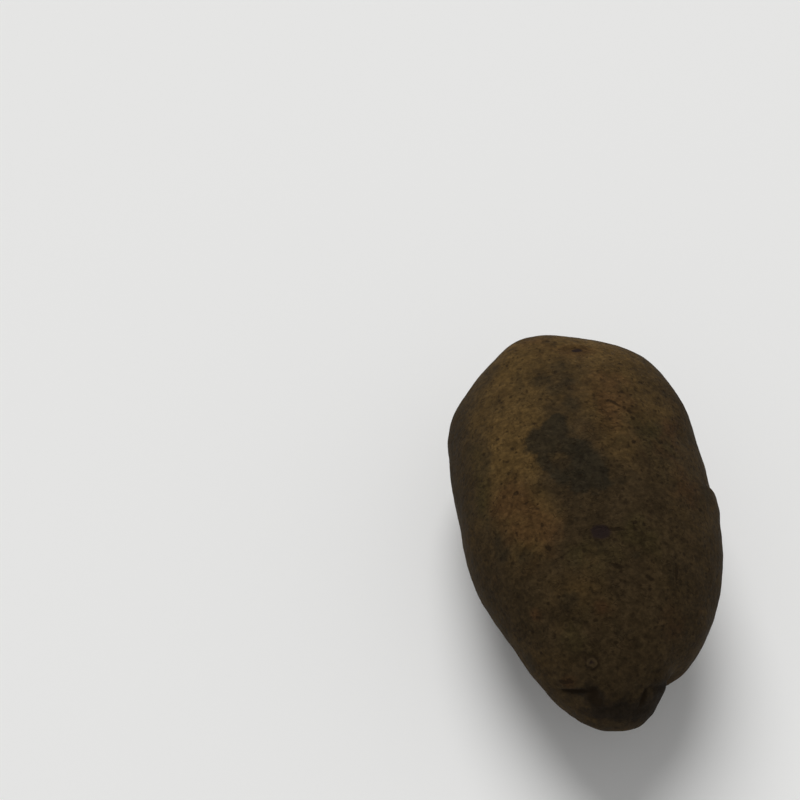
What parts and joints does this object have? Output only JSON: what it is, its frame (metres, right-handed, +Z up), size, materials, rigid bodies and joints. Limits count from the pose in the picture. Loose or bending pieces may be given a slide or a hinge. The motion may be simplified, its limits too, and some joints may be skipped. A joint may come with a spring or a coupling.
{
  "type": "seed potato",
  "caption": "Whole long-oval seed potato lying on its side: yellow-brown russeted skin with dark scurf, small eyes, a narrow creased nose and a blunt broad end.",
  "frame": {"origin": "on the surface that the tuber rests on, under the middle of its box", "axes": "+Z up; +Y along the tuber from the narrow nose to the broad stolon end; +X to the right seen from the nose, along the tuber's width"},
  "size_m": [0.0558, 0.0902, 0.0469],
  "materials": {
    "skin": "matt corky skin, golden brown, with fine russet netting, dark pores, grey-brown scurf and a trace of dry soil"
  },
  "bodies": {
    "root": {"seed_potato": "skin"}
  },
  "joints": []
}
